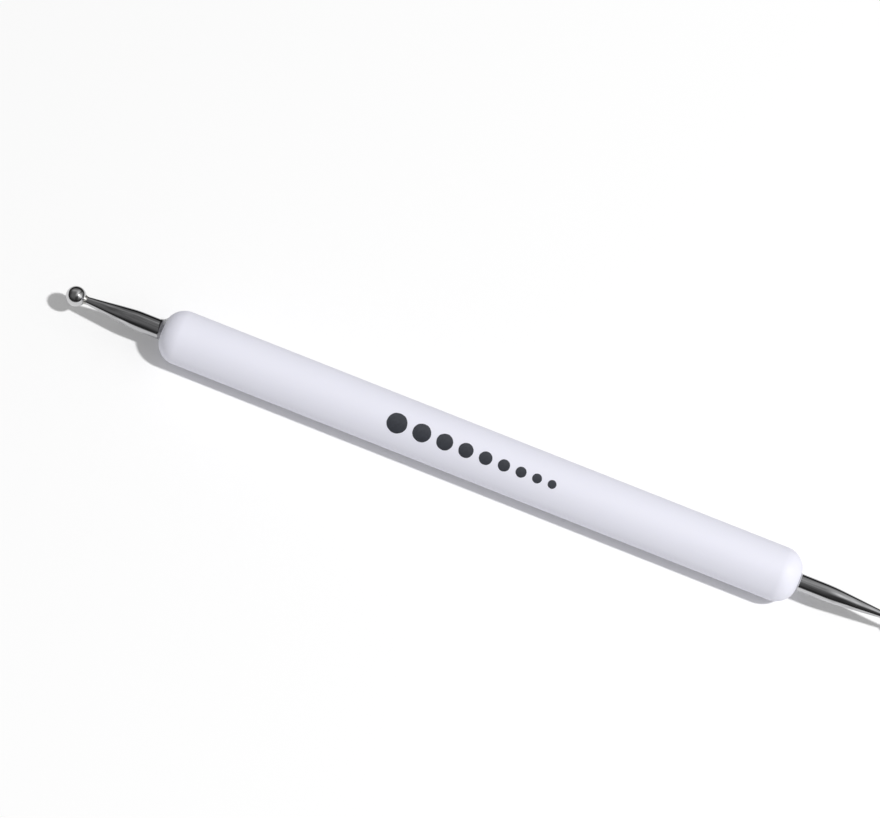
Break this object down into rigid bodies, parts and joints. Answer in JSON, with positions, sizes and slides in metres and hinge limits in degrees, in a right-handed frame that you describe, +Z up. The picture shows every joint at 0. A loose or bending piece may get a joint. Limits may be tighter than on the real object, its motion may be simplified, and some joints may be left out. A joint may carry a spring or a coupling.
{
  "type": "embossing stylus",
  "caption": "Double-ended embossing stylus: a round satin white handle with rounded ends and polished tapered stems, a large ball at one end and a small ball at the other.",
  "frame": {"origin": "middle of the overall length, on the ground straight below the stylus axis", "axes": "+X along the stylus from the large ball to the small ball, +Y to the far side, +Z up; the stylus lies on its handle on z = 0"},
  "size_m": [0.13, 0.008, 0.008],
  "materials": {
    "handle_plastic": "satin moulded",
    "stem_metal": "polished",
    "ball_metal": "mirror polished",
    "solder": "bright silver solder",
    "adhesive": "cured clear adhesive"
  },
  "bodies": {
    "root": {"handle": "handle_plastic", "large_stem": "stem_metal", "large_ball": "ball_metal", "large_braze": "solder", "large_bond": "adhesive", "small_stem": "stem_metal", "small_ball": "ball_metal", "small_braze": "solder", "small_bond": "adhesive"}
  },
  "joints": []
}
